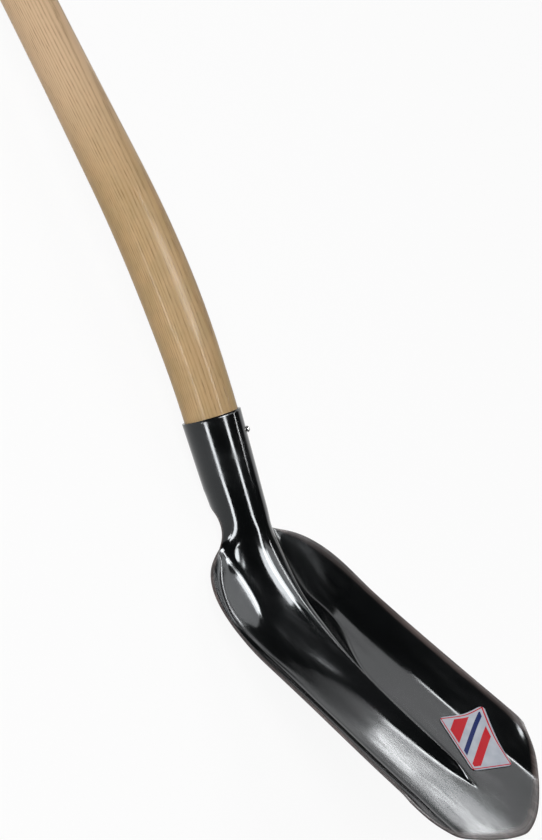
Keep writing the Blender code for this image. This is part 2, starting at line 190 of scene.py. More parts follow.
# The camera, where the photographer's stood, in the row frame
CAMERA_PLACE = Vector((0.4493, -1.0456, 1.0066))
CAMERA_TURN = Euler((math.radians(28.303), math.radians(-41.257), math.radians(55.019)))
CAMERA_LENS = 85.24
CAMERA_SENSOR = 36

# The way that the camera sees mirrored in the blade's floor, in the head's frame
MIRROR_WAY = Vector((-0.24, 0.742, 0.625))

# The card over the heel's right corner, in the head's frame
CARD_FROM = Vector((2 * MM, 40 * MM))
CARD_TO = Vector((50 * MM, 85 * MM))
CARD_HEIGHT = 32 * MM

# The white floor: half its width, and the share of paper white in what shiny surfaces and the camera see
FLOOR_REACH = 10.0
FLOOR_WHITENESS = 0.92

# The room's white fades between these angles over the horizon, in degrees, to this share of white
HORIZON_FADE = (4, 16)
ROOM_DIMNESS = 0.03

# Black lacquer, where it lies thick and thin, the rim's colour for the steel's worn edge and a painted
# highlight along the lip, and the tint of what is mirrored
LACQUER_THICK = (0.002, 0.0024, 0.0026)
LACQUER_THIN = (0.005, 0.0056, 0.006)
RIM_WEAR_AND_HIGHLIGHT = (0.11, 0.085, 0.08)
LACQUER_TINT = (0.93, 0.97, 1.0, 1)

# Ash: the way across its growth rings in a section of the stick, the wood between two rings, their sway,
# and how deep its pores are
RING_WAY = (0, 0.3, 0.95)
RING_SPACING = 1.9 * MM
RING_SWAY = 9 * MM
PORE_DEPTH = 0.04 * MM

# The scale at which the wave texture draws one ring to the metre, and those of fibres and pores, along the
# stick and across it
ONE_RING_SCALE = 0.314
FIBRE_SCALE = (45, 1500, 1500)
PORE_SCALE = (90, 1900, 1900)

# Ash: its colours, and where a painted light makes it paler up the handle, measured from its foot in the
# socket
ASH_BROWN = (0.44, 0.285, 0.135)
ASH_STRAW = (0.52, 0.35, 0.18)
ASH_MOTTLE = (0.36, 0.27, 0.13)
ASH_PAINTED_LIGHT = (0.66, 0.47, 0.31)
ASH_EARLY_WOOD = (0.30, 0.175, 0.075)
ASH_FIBRE = (0.60, 0.45, 0.28)
ASH_PORE = (0.19, 0.11, 0.05)
PAINTED_LIGHT_RUN = (200 * MM, 340 * MM)

# Zinc plating, where it is bright and dull
ZINC_BRIGHT = (0.72, 0.72, 0.70)
ZINC_DULL = (0.5, 0.5, 0.49)

# The label's print: its colours, how softly the ink ends, the line round it, and the silver frame past that
FOIL_GREY = (0.38, 0.41, 0.47)
FOIL_SILVER = (0.47, 0.50, 0.55)
INK_RED = (0.47, 0.017, 0.025)
INK_BLUE = (0.016, 0.024, 0.11)
INK_EDGE = 0.15 * MM
KEYLINE_INSET = 1.3 * MM
KEYLINE_HALF_WIDTH = 0.35 * MM
STRIPE_FRAME = 3.2 * MM

# The stripes: where each one's middle lies across the label, its half width and its ink
STRIPES = (
    (-15 * MM, 4.5 * MM, INK_RED),
    (-4 * MM, 1.6 * MM, INK_BLUE),
    (6 * MM, 3 * MM, INK_RED),
)


def clamp(t):
    return min(1.0, max(0.0, t))


def ease(t):
    t = clamp(t)
    return t * t * (3 - 2 * t)


def mix(a, b, t):
    return a + (b - a) * t


# The head's shape


def socket_radius(s):
    """Outer radius of the socket, s down its axis from the mouth."""
    return mix(MOUTH_RADIUS, NECK_RADIUS, s / NECK_AT)


def socket_half_angle(s):
    """How far round to the back the sheet reaches on each side, s down the axis from the mouth."""
    closed = math.pi - SEAM_GAP / (2 * MOUTH_RADIUS)
    return mix(closed, NECK_HALF_ANGLE, clamp((s - WING_CORNER_AT) / (WING_END_AT - WING_CORNER_AT)))


def socket_row(s):
    """Half a ring of cage points round the socket, from its front line to its edge."""
    step = socket_half_angle(s) / HALF_COLUMNS
    pull = (2 + math.cos(step)) / 3
    centre = MOUTH_CENTRE + s * AXIS_DOWN
    row = []
    for j in range(HALF_COLUMNS + 1):
        radius = socket_radius(s) / (1 if j == HALF_COLUMNS else pull)
        angle = j * step
        row.append(centre + radius * (math.cos(angle) * AXIS_FRONT + math.sin(angle) * SIDE))
    return row


def wall_rise(t, run):
    """Share of the wall's height at the share t of its run outward: a fillet, a slope and a flatter lip."""
    fillet = min(WALL_FILLET / run, 0.5)
    lip = min(LIP_WIDTH / run, 0.5)

    def climb(v):
        rise = v * v / (2 * fillet) if v < fillet else v - fillet / 2
        past = max(0, v - (1 - lip))
        return rise - (1 - LIP_SLOPE) * past * past / (2 * lip)

    return climb(clamp(t)) / climb(1)


def tray_height(x, y):
    """The front face of the blade's floor, heel and walls, without the rib.

    The heel is a ramp across the blade. It meets the walls, which follow the rim, in a soft crease.
    """
    across = abs(y) / (BLADE_WIDTH / 2)
    behind = max(0.0, (HEEL_START_X - x) / HEEL_LENGTH)
    out = (behind ** HEEL_POWER + across ** HEEL_POWER) ** (1 / HEEL_POWER)
    heel = behind / out if out > 0 else 0
    top = mix(WALL_HEIGHT, HEEL_HEIGHT, heel)
    top -= TIP_WALL_DROP * ease((x - TIP_CORNER_X + TIP_DROP_LEAD) / TIP_DROP_RUN)
    wall_run = mix((BLADE_WIDTH - FLOOR_WIDTH) / 2, HEEL_WALL_RUN, heel)
    from_rim = (1 - out) * mix(BLADE_WIDTH / 2, HEEL_LENGTH, heel)
    wall = clamp(1 - from_rim / wall_run) ** HEEL_BLEND
    ramp = clamp((HEEL_RAMP_END_X - x) / HEEL_RUN) ** HEEL_BLEND
    both = wall + ramp
    up = (both / (1 + ramp)) ** (1 / HEEL_BLEND)
    run = mix(wall_run, HEEL_RUN, ramp / both) if both > 0 else wall_run
    dish = TIP_RISE * clamp((x - TIP_START_X) / (TIP_X - TIP_START_X)) ** 2
    return top * wall_rise(up, run) + dish


def crest_height(x):
    """The front line of neck and rib over the floor, which leaves the socket's front line without a kink."""
    drop = NECK_FRONT.z - RIB_HEIGHT
    height = RIB_HEIGHT + drop * math.exp(-(x - NECK_FRONT.x) * math.tan(LIFT) / drop)
    return height * ease((RIB_END_X - x) / RIB_END_RUN)


def rib_half_width(x):
    root = mix(RIB_ROOT_HALF_WIDTH, RIB_HALF_WIDTH, ease((x - RIB_ROOT_X) / (RIB_WAIST_X - RIB_ROOT_X)))
    point = clamp((x - TIP_START_X) / (RIB_END_X - TIP_START_X))
    return max(RIB_END_HALF_WIDTH, root * (1 - point ** 2) ** RIB_TAPER)


def across_blade(crest_x, edge_y):
    """How far out each point of a row lies, and its share of the rib's height there."""
    blunt = ease(crest_x / SHOULDER_X)
    wide = ease((crest_x - SHOULDER_X) / (RIB_ROOT_X - SHOULDER_X))
    half = mix(mix(NECK_RADIUS, SHOULDER_HALF_WIDTH, blunt), rib_half_width(crest_x), wide)
    points = []
    for neck, shoulder, rib in zip(NECK_ARCH, SHOULDER_ARCH, RIB_ARCH):
        out, up = (mix(mix(a, b, blunt), c, wide) for a, b, c in zip(neck, shoulder, rib))
        points.append((half * out, up))
    foot = points[-1][0]
    floor_end = max(edge_y * FLOOR_WIDTH / BLADE_WIDTH, mix(foot, edge_y, LEAST_FLOOR))
    for t, neck, shoulder in zip(FLOOR_STEPS, NECK_WEB, SHOULDER_WEB):
        points.append((mix(foot, floor_end, t), mix(mix(neck, shoulder, blunt), 0, wide)))
    points += [(mix(floor_end, edge_y, t), 0) for t in WALL_STEPS]
    return points


def spread(x, y, z):
    """A point of the tray, moved out from the middle where the blade flares toward the tip."""
    ramp = ease((x - FLARE_START_X) / (TIP_CORNER_X - FLARE_START_X))
    return Vector((x, y * (1 + ramp * FLARE / (BLADE_WIDTH / 2)), z))


def heel_row(crest_x, edge_x, edge_y):
    """Half a row of cage points that sweeps from the rib's crest back to the rim."""
    row = []
    for y, share in across_blade(crest_x, edge_y):
        x = mix(crest_x, edge_x, (y / edge_y) ** HEEL_SWEEP)
        arch = share * (crest_height(crest_x) - tray_height(crest_x, 0))
        row.append(spread(x, y, tray_height(x, y) + arch))
    return row


def tip_outline_x(y):
    across = clamp(abs(y) / (BLADE_WIDTH / 2))
    return TIP_CORNER_X + (TIP_X - TIP_CORNER_X) * (1 - across ** TIP_POWER) ** (1 / TIP_POWER)


def tip_row(crest_x):
    """Half a row of cage points that bows with the tip's outline, the more the nearer the tip."""
    share = (crest_x - TIP_START_X) / (TIP_X - TIP_START_X)
    row = []
    for y, arch in across_blade(crest_x, BLADE_WIDTH / 2):
        x = mix(TIP_START_X, tip_outline_x(y), share)
        row.append(spread(x, y, tray_height(x, y) + arch * crest_height(crest_x)))
    return row


def heel_rim(angle):
    """A point of the rim round the heel; at a right angle the straight side begins."""
    x = HEEL_START_X - HEEL_LENGTH * abs(math.cos(angle)) ** (2 / HEEL_POWER)
    y = BLADE_WIDTH / 2 * math.sin(angle) ** (2 / HEEL_POWER)
    return x, y


def head_rows():
    """Rows of cage points, from the socket's mouth to the blade's tip."""
    wing = WING_END_AT - WING_CORNER_AT
    stations = [WING_CORNER_AT * t for t in SOCKET_ROWS] + [WING_CORNER_AT + wing * t for t in WING_ROWS]
    rows = [socket_row(s) for s in stations + [NECK_AT]]
    for i in range(HEEL_ROWS):
        t = i / (HEEL_ROWS - 1)
        crest_x = mix(NECK_FRONT.x + HEEL_ROW_GAP, HEEL_START_X - HEEL_ROW_GAP, t ** HEEL_ROW_CROWDING)
        rows.append(heel_row(crest_x, *heel_rim(mix(HEEL_FIRST_ANGLE, math.pi / 2, t))))
    for t in SIDE_ROWS:
        x = mix(HEEL_START_X, TIP_START_X, t)
        rows.append(heel_row(x, x, BLADE_WIDTH / 2))
    blunt_x = RIB_END_X - RIB_END_RUN
    crests = [mix(TIP_START_X, blunt_x, t) for t in TAPER_ROWS]
    crests += [mix(blunt_x, RIB_END_X, t) for t in BLUNT_ROWS]
    crests += [mix(RIB_END_X, TIP_X, t) for t in TIP_ROWS]
    rows += [tip_row(x) for x in crests]
    return rows


def grid_faces(rows, columns):
    faces = []
    for i in range(rows - 1):
        for j in range(columns - 1):
            a = i * columns + j
            faces.append((a, a + columns, a + columns + 1, a + 1))
    return faces


def keep_place(mesh):
    """Keeps each point's place in the head's frame as the attribute place, then lays the mesh down."""
    place = mesh.attributes.new("place", "FLOAT_VECTOR", "POINT")
    place.data.foreach_set("vector", [c for v in mesh.vertices for c in v.co])
    mesh.transform(SPADE_PLACE)


def head_mesh():
    """The coarse cage of the sheet's front face. The attribute rim is 1 along its edges and 0 inside."""
    rows = head_rows()
    columns = range(-HALF_COLUMNS, HALF_COLUMNS + 1)
    verts = []
    rim = []
    for i, row in enumerate(rows):
        verts += [Vector((p.x, -p.y, p.z)) for p in reversed(row[1:])] + row
        at_tip = i == len(rows) - 1
        rim += [1.0 if at_tip or abs(j) == HALF_COLUMNS else 0.0 for j in columns]
    mesh = bpy.data.meshes.new("spade_head")
    mesh.from_pydata(verts, [], grid_faces(len(rows), len(columns)))
    mesh.attributes.new("rim", "FLOAT", "POINT").data.foreach_set("value", rim)
    keep_place(mesh)
    mesh.shade_smooth()
    return mesh


def place_piece(name, mesh, material, node, place=None):
    """A piece that stands for a node of the solid model."""
    piece = bpy.data.objects.new(name, mesh)
    bpy.context.scene.collection.objects.link(piece)
    if place:
        piece.matrix_world = place
    piece.data.materials.append(material)
    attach(piece, "root")
    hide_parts(node)
    return piece


def make_head(material):
    head = place_piece("spade_head", head_mesh(), material, "head")
    form = head.modifiers.new("Form", "SUBSURF")
    form.levels = HEAD_LEVEL
    form.render_levels = HEAD_LEVEL
    form.boundary_smooth = "PRESERVE_CORNERS"
    sheet = head.modifiers.new("Sheet", "SOLIDIFY")
    sheet.thickness = SHEET
    sheet.offset = -1
    sheet.use_even_offset = True
    return head


# The handle's shape


def handle_angle(u):
    """Slope of the handle's centreline against the blade's floor, u along it from its foot."""
    return LIFT - BEND * clamp((u - SEAT_DEPTH) / BEND_LENGTH)


def handle_radius(u):
    above = u - SEAT_DEPTH
    if above <= 0:
        return socket_radius(-above) - SHEET - PLAY
    mouth = MOUTH_RADIUS - SHEET - PLAY
    if above < SWELL_AT:
        return mix(mouth, SWELL_RADIUS, ease(above / SWELL_AT))
    return mix(SWELL_RADIUS, HANDLE_RADIUS, ease((above - SWELL_AT) / (SWELL_LENGTH - SWELL_AT)))


def handle_rings():
    """Distances along the centreline, each with the handle's radius there."""
    rings = [(0, 0), (0, handle_radius(0) - FOOT_CHAMFER), (FOOT_CHAMFER, handle_radius(FOOT_CHAMFER))]
    shaft_end = HANDLE_LENGTH - END_ROUNDING
    for i in range(1, HANDLE_STEPS + 1):
        u = mix(FOOT_CHAMFER, shaft_end, i / HANDLE_STEPS)
        rings.append((u, handle_radius(u)))
    for degrees in END_ANGLES:
        angle = math.radians(degrees)
        past = END_ROUNDING * math.sin(min(angle, math.radians(END_FLAT_ANGLE)))
        radius = HANDLE_RADIUS - END_ROUNDING * (1 - math.cos(angle))
        rings.append((shaft_end + past, radius if degrees < 90 else 0))
    return rings


def centreline(distances):
    """Points of the handle's centreline at rising distances along it, each with the slope there."""
    at = MOUTH_CENTRE + SEAT_DEPTH * AXIS_DOWN
    here = 0.0
    found = []
    for u in distances:
        steps = max(1, round((u - here) / CENTRELINE_STEP))
        for i in range(steps):
            angle = handle_angle(here + (u - here) * (i + 0.5) / steps)
            at = at + Vector((-math.cos(angle), 0, math.sin(angle))) * ((u - here) / steps)
        here = u
        found.append((at.copy(), handle_angle(u)))
    return found


def handle_mesh():
    """Rings round the centreline. The attribute grain holds each point's place in the unbent stick."""
    rings = handle_rings()
    verts = []
    grain = []
    for (u, radius), (centre, slope) in zip(rings, centreline([u for u, r in rings])):
        front = Vector((math.sin(slope), 0, math.cos(slope)))
        for k in range(HANDLE_SIDES):
            angle = 2 * math.pi * k / HANDLE_SIDES
            side = radius * math.sin(angle)
            up = radius * math.cos(angle)
            verts.append(centre + side * SIDE + up * front)
            grain += [u, side, up]
    faces = []
    for i in range(len(rings) - 1):
        for k in range(HANDLE_SIDES):
            a = i * HANDLE_SIDES + k
            b = i * HANDLE_SIDES + (k + 1) % HANDLE_SIDES
            faces.append((a, a + HANDLE_SIDES, b + HANDLE_SIDES, b))
    mesh = bpy.data.meshes.new("spade_handle")
    mesh.from_pydata(verts, [], faces)
    mesh.attributes.new("grain", "FLOAT_VECTOR", "POINT").data.foreach_set("vector", grain)
    mesh.transform(SPADE_PLACE)
    return mesh


def make_handle(material):
    mesh = handle_mesh()
    handle = place_piece("spade_handle", mesh, material, "handle")
    weld = handle.modifiers.new("Close the ends", "WELD")
    weld.merge_threshold = WELD_REACH
    mesh.shade_smooth()


# The nail and the label


def nail_frame():
    """The nail's own axis, +Z outward, its origin on the socket's outer face."""
    outward = math.cos(NAIL_ANGLE) * AXIS_FRONT + math.sin(NAIL_ANGLE) * SIDE
    place = MOUTH_CENTRE + NAIL_AT * AXIS_DOWN + socket_radius(NAIL_AT) * outward
    return Matrix.Translation(place) @ outward.to_track_quat("Z", "X").to_matrix().to_4x4()


def make_nail(material):
    profile = [(0, PLAY + NAIL_HEAD_HEIGHT)]
    for degrees in NAIL_DOME_ANGLES:
        angle = math.radians(degrees)
        dome = (NAIL_HEAD_HEIGHT - NAIL_RIM_HEIGHT) * math.sin(angle)
        profile.append((NAIL_HEAD_RADIUS * math.cos(angle), PLAY + NAIL_RIM_HEIGHT + dome))
    profile += [(NAIL_HEAD_RADIUS, PLAY), (NAIL_RADIUS, PLAY)]
    profile += [(NAIL_RADIUS, NAIL_POINT - NAIL_LENGTH), (0, -NAIL_LENGTH)]
    mesh = bpy.data.meshes.new("spade_nail")
    edges = [(i, i + 1) for i in range(len(profile) - 1)]
    mesh.from_pydata([(r, 0, z) for r, z in profile], edges, [])
    place = SPADE_PLACE @ nail_frame()
    nail = place_piece("spade_nail", mesh, material, "nail", place)
    screw = nail.modifiers.new("Turn", "SCREW")
    screw.steps = NAIL_SIDES
    screw.render_steps = NAIL_SIDES
    screw.use_merge_vertices = True
    screw.merge_threshold = WELD_REACH
    screw.use_smooth_shade = True


def label_half_width(x):
    """Half the label's width x along it from its middle, less where its corners are round."""
    past = max(0.0, abs(x) - (LABEL_LENGTH / 2 - LABEL_CORNER))
    return LABEL_WIDTH / 2 - LABEL_CORNER + math.sqrt(max(0.0, LABEL_CORNER ** 2 - past ** 2))


def make_label(material, head):
    """Foil laid on the blade's floor. The attribute print holds each point's place on the flat label."""
    turn = Matrix.Rotation(LABEL_TURN, 2)
    verts = []
    print_at = []
    for i in range(LABEL_ROWS):
        x = -LABEL_LENGTH / 2 * math.cos(math.pi * i / (LABEL_ROWS - 1))
        for j in range(LABEL_COLUMNS):
            y = mix(-1, 1, j / (LABEL_COLUMNS - 1)) * label_half_width(x)
            flat = turn @ Vector((x, y)) + LABEL_CENTRE
            verts.append((*flat, HEEL_HEIGHT))
            print_at += [x, y, 0]
    mesh = bpy.data.meshes.new("spade_label")
    mesh.from_pydata(verts, [], grid_faces(LABEL_ROWS, LABEL_COLUMNS))
    mesh.attributes.new("print", "FLOAT_VECTOR", "POINT").data.foreach_set("vector", print_at)
    mesh.shade_smooth()
    label = place_piece("spade_label", mesh, material, "label", SPADE_PLACE)
    drape = label.modifiers.new("Lie on the floor", "SHRINKWRAP")
    drape.target = head
    drape.wrap_method = "PROJECT"
    drape.use_project_z = True
    drape.use_negative_direction = True
    drape.use_positive_direction = False
    drape.offset = PLAY
    foil = label.modifiers.new("Foil", "SOLIDIFY")
    foil.thickness = LABEL_THICKNESS
    foil.offset = 1


# Shader nodes


def put(tree, kind, inputs=None, **settings):
    """A new node with its settings, and with each input given as a value or as another node's output."""
    node = tree.nodes.new("ShaderNode" + kind)
    for name, value in settings.items():
        setattr(node, name, value)
    for name, value in (inputs or {}).items():
        if isinstance(value, bpy.types.NodeSocket):
            tree.links.new(value, node.inputs[name])
        else:
            node.inputs[name].default_value = value
    return node


def math_of(tree, operation, a, b=0.0):
    return put(tree, "Math", {0: a, 1: b}, operation=operation).outputs[0]


def scaled(tree, vector, factors):
    return put(tree, "VectorMath", {0: vector, 1: factors}, operation="MULTIPLY").outputs[0]


def noise(tree, vector, scale, detail, roughness=0.5):
    inputs = {"Vector": vector, "Scale": scale, "Detail": detail, "Roughness": roughness}
    return put(tree, "TexNoise", inputs).outputs["Fac"]


def attribute(tree, name, output="Vector"):
    """What a mesh holds at each of its points, a place or a share."""
    return put(tree, "Attribute", attribute_name=name).outputs[output]


def blend(tree, share, a, b):
    """Colour a where share is 0 and b where it is 1. Each is a plain colour or another node's output."""
    first, last = (end if isinstance(end, bpy.types.NodeSocket) else (*end, 1) for end in (a, b))
    return put(tree, "Mix", {0: share, 6: first, 7: last}, data_type="RGBA").outputs[2]


def between(tree, value, low, high, start=0.0, end=1.0):
    """start below low, end above high, and a smooth step between."""
    inputs = {"Value": value, "From Min": low, "From Max": high, "To Min": start, "To Max": end}
    return put(tree, "MapRange", inputs, interpolation_type="SMOOTHSTEP").outputs["Result"]


def new_group(name, inputs, output):
    """An empty node group of one output. inputs gives each socket's name, its kind and its first value."""
    group = bpy.data.node_groups.new(name, "ShaderNodeTree")
    for socket_name, kind, value in inputs:
        socket = group.interface.new_socket(socket_name, in_out="INPUT", socket_type="NodeSocket" + kind)
        if value is not None:
            socket.default_value = value
    group.interface.new_socket(output, in_out="OUTPUT", socket_type="NodeSocketFloat")
    return group, group.nodes.new("NodeGroupInput").outputs, group.nodes.new("NodeGroupOutput").inputs


def stretched(group, given):
    """The group's vector, drawn out along X by its stretch."""
    squeeze = {"X": math_of(group, "DIVIDE", 1.0, given["Stretch"]), "Y": 1, "Z": 1}
    return scaled(group, given["Vector"], put(group, "CombineXYZ", squeeze).outputs[0])


def cloud_group():
    """Soft uneven patches, as in a dipped or sprayed coat, stretched along X by the stretch."""
    sockets = [("Vector", "Vector", None), ("Scale", "Float", 20.0), ("Stretch", "Float", 3.0)]
    sockets += [("Low", "Float", 0.35), ("High", "Float", 0.65)]
    group, given, made = new_group("uneven coat", sockets, "Mask")
    patches = noise(group, stretched(group, given), given["Scale"], 5, 0.55)
    group.links.new(between(group, patches, given["Low"], given["High"]), made["Mask"])
    return group


def relief_group():
    """Height in metres of a skin of lacquer: fine peel over long shallow waves."""
    sockets = [("Vector", "Vector", None), ("Stretch", "Float", 3.0)]
    sockets += [("Peel Scale", "Float", 900.0), ("Peel Depth", "Float", 0.01 * MM)]
    sockets += [("Wave Scale", "Float", 45.0), ("Wave Depth", "Float", 0.1 * MM)]
    group, given, made = new_group("lacquer relief", sockets, "Height")
    place = stretched(group, given)
    peel = noise(group, place, given["Peel Scale"], 2)
    wave = noise(group, place, given["Wave Scale"], 1)
    peel_height = math_of(group, "MULTIPLY", peel, given["Peel Depth"])
    wave_height = math_of(group, "MULTIPLY", wave, given["Wave Depth"])
    group.links.new(math_of(group, "ADD", peel_height, wave_height), made["Height"])
    return group


def use(tree, group, inputs):
    return put(tree, "Group", inputs, node_tree=group).outputs[0]


def new_material(name):
    material = bpy.data.materials.new(name)
    material.use_nodes = True
    tree = material.node_tree
    return material, tree, tree.nodes["Principled BSDF"]


def bump(tree, shader, height):
    node = put(tree, "Bump", {"Height": height, "Strength": 1.0, "Distance": 1.0})
    tree.links.new(node.outputs["Normal"], shader.inputs["Normal"])


def black_lacquer(clouds, relief):
    """Dipped black lacquer over pressed steel, thin and brownish on the rim, with a painted highlight along
    the lip.
    """
    material, tree, shader = new_material("black lacquered steel")
    place = attribute(tree, "place")
    rim = attribute(tree, "rim", "Fac")
    patches = use(tree, clouds, {"Vector": place, "Scale": 26.0, "Stretch": 2.2, "Low": 0.38, "High": 0.66})
    streaks = use(tree, clouds, {"Vector": place, "Scale": 160.0, "Stretch": 6.0, "Low": 0.4, "High": 0.7})
    body = blend(tree, patches, LACQUER_THICK, LACQUER_THIN)
    # Partly painted highlight: the rim band is blended toward a lighter brownish grey, for worn lacquer and
    # for the light the lip catches
    near_rim = between(tree, rim, 0.1, 0.7)
    rim_wear_and_highlight = math_of(tree, "MULTIPLY", near_rim, between(tree, streaks, 0.0, 1.0, 0.5, 1.0))
    tree.links.new(blend(tree, rim_wear_and_highlight, body, RIM_WEAR_AND_HIGHLIGHT), shader.inputs["Base Color"])
    gloss = between(tree, patches, 0.0, 1.0, 0.08, 0.14)
    streaked = math_of(tree, "ADD", gloss, math_of(tree, "MULTIPLY", streaks, 0.07))
    scuffed = math_of(tree, "MAXIMUM", streaked, between(tree, rim, 0.2, 1.0, 0.1, 0.36))
    tree.links.new(scuffed, shader.inputs["Roughness"])
    shader.inputs["Specular Tint"].default_value = LACQUER_TINT
    skin = {
        "Vector": place,
        "Peel Scale": 700.0,
        "Peel Depth": 0.01 * MM,
        "Wave Scale": 40.0,
        "Wave Depth": 0.12 * MM,
    }
    bump(tree, shader, use(tree, relief, skin))
    return material


def lacquered_ash(clouds, relief):
    """Steam-bent ash under satin lacquer. Its growth rings are laid through the unbent stick."""
    material, tree, shader = new_material("lacquered ash")
    stick = attribute(tree, "grain")
    slow = scaled(tree, stick, (0.05, 1, 1))
    depth = put(tree, "VectorMath", {0: stick, 1: RING_WAY}, operation="DOT_PRODUCT").outputs["Value"]
    sway = math_of(tree, "MULTIPLY", noise(tree, slow, 42.0, 2), RING_SWAY)
    at = put(tree, "CombineXYZ", {"X": math_of(tree, "ADD", depth, sway)}).outputs[0]
    bands = {"wave_type": "BANDS", "bands_direction": "X", "wave_profile": "SIN"}
    rings_in = {"Vector": at, "Scale": ONE_RING_SCALE / RING_SPACING, "Distortion": 0.0}
    early = between(tree, put(tree, "TexWave", rings_in, **bands).outputs["Fac"], 0.35, 0.95)
    fibre = noise(tree, scaled(tree, stick, FIBRE_SCALE), 1.0, 3, 0.6)
    pore = noise(tree, scaled(tree, stick, PORE_SCALE), 1.0, 1)
    pores = math_of(tree, "MULTIPLY", between(tree, pore, 0.54, 0.66), early)
    tone = use(tree, clouds, {"Vector": slow, "Scale": 38.0, "Stretch": 1.0, "Low": 0.3, "High": 0.7})
    mottle = use(tree, clouds, {"Vector": stick, "Scale": 60.0, "Stretch": 1.0, "Low": 0.35, "High": 0.65})
    along = put(tree, "SeparateXYZ", {"Vector": stick}).outputs["X"]
    ground = blend(tree, tone, ASH_BROWN, ASH_STRAW)
    mottled = blend(tree, math_of(tree, "MULTIPLY", mottle, 0.4), ground, ASH_MOTTLE)
    # Painted light: the wood turns paler further up the handle, standing for brighter light there
    painted_lit = blend(tree, between(tree, along, *PAINTED_LIGHT_RUN, 0.0, 0.75), mottled, ASH_PAINTED_LIGHT)
    figured = blend(tree, math_of(tree, "MULTIPLY", early, 0.32), painted_lit, ASH_EARLY_WOOD)
    fibred = blend(tree, between(tree, fibre, 0.35, 0.7, 0.0, 0.2), figured, ASH_FIBRE)
    pored = blend(tree, math_of(tree, "MULTIPLY", pores, 0.5), fibred, ASH_PORE)
    tree.links.new(pored, shader.inputs["Base Color"])
    tree.links.new(between(tree, fibre, 0.3, 0.7, 0.30, 0.40), shader.inputs["Roughness"])
    shader.inputs["Specular IOR Level"].default_value = 0.04
    shader.inputs["Coat Weight"].default_value = 0.08
    shader.inputs["Coat Roughness"].default_value = 0.09
    skin = {
        "Vector": stick,
        "Peel Scale": 600.0,
        "Peel Depth": 0.006 * MM,
        "Wave Scale": 60.0,
        "Wave Depth": 0.06 * MM,
    }
    grooves = math_of(tree, "MULTIPLY", pores, -PORE_DEPTH)
    bump(tree, shader, math_of(tree, "ADD", use(tree, relief, skin), grooves))
    return material


def zinc_plate(clouds, relief):
    """The nail's bright plating, dulled in patches and marked by the hammer."""
    material, tree, shader = new_material("zinc plated steel")
    place = put(tree, "TexCoord").outputs["Object"]
    dull = use(tree, clouds, {"Vector": place, "Scale": 700.0, "Stretch": 1.0, "Low": 0.4, "High": 0.65})
    tree.links.new(blend(tree, dull, ZINC_BRIGHT, ZINC_DULL), shader.inputs["Base Color"])
    tree.links.new(between(tree, dull, 0.0, 1.0, 0.18, 0.36), shader.inputs["Roughness"])
    shader.inputs["Metallic"].default_value = 1.0
    skin = {
        "Vector": place,
        "Peel Scale": 2500.0,
        "Peel Depth": 0.02 * MM,
        "Wave Scale": 500.0,
        "Wave Depth": 0.2 * MM,
    }
    bump(tree, shader, use(tree, relief, skin))
    return material


def printed_foil(clouds, relief):
    """Silver foil with a red keyline and slanting stripes."""
    material, tree, shader = new_material("printed foil")
    place = attribute(tree, "print")
    axes = put(tree, "SeparateXYZ", {"Vector": place})
    x = axes.outputs["X"]
    y = axes.outputs["Y"]
    haze = use(tree, clouds, {"Vector": place, "Scale": 90.0, "Stretch": 1.0, "Low": 0.3, "High": 0.7})
    colour = blend(tree, haze, FOIL_GREY, FOIL_SILVER)
    inside_x = math_of(tree, "SUBTRACT", LABEL_LENGTH / 2, math_of(tree, "ABSOLUTE", x))
    inside_y = math_of(tree, "SUBTRACT", LABEL_WIDTH / 2, math_of(tree, "ABSOLUTE", y))
    inside = math_of(tree, "MINIMUM", inside_x, inside_y)
    off_line = math_of(tree, "ABSOLUTE", math_of(tree, "SUBTRACT", inside, KEYLINE_INSET))
    line_end = KEYLINE_HALF_WIDTH + INK_EDGE
    colour = blend(tree, between(tree, off_line, KEYLINE_HALF_WIDTH, line_end, 1.0, 0.0), colour, INK_RED)
    across = math_of(tree, "MULTIPLY", math_of(tree, "ADD", x, y), math.sqrt(0.5))
    framed = between(tree, inside, STRIPE_FRAME, STRIPE_FRAME + INK_EDGE)
    for middle, half_width, ink in STRIPES:
        off_stripe = math_of(tree, "ABSOLUTE", math_of(tree, "SUBTRACT", across, middle))
        stripe = between(tree, off_stripe, half_width, half_width + INK_EDGE, 1.0, 0.0)
        colour = blend(tree, math_of(tree, "MULTIPLY", stripe, framed), colour, ink)
    tree.links.new(colour, shader.inputs["Base Color"])
    tree.links.new(between(tree, haze, 0.0, 1.0, 0.28, 0.42), shader.inputs["Roughness"])
    shader.inputs["Specular IOR Level"].default_value = 0.05
    skin = {
        "Vector": place,
        "Peel Scale": 900.0,
        "Peel Depth": 0.008 * MM,
        "Wave Scale": 60.0,
        "Wave Depth": 0.1 * MM,
    }
    bump(tree, shader, use(tree, relief, skin))
    return material


# The studio


def flat_sheet(name, low, high, height, material):
    """A level rectangle between two corners, x and y each."""
    corners = [(low.x, low.y), (high.x, low.y), (high.x, high.y), (low.x, high.y)]
    mesh = bpy.data.meshes.new(name)
    mesh.from_pydata([(x, y, height) for x, y in corners], [], [(0, 1, 2, 3)])
    mesh.materials.append(material)
    sheet = bpy.data.objects.new(name, mesh)
    bpy.context.scene.collection.objects.link(sheet)
    return sheet


def bare_material(name):
    """A material without its first nodes."""
    material = bpy.data.materials.new(name)
    material.use_nodes = True
    material.node_tree.nodes.clear()
    return material, material.node_tree


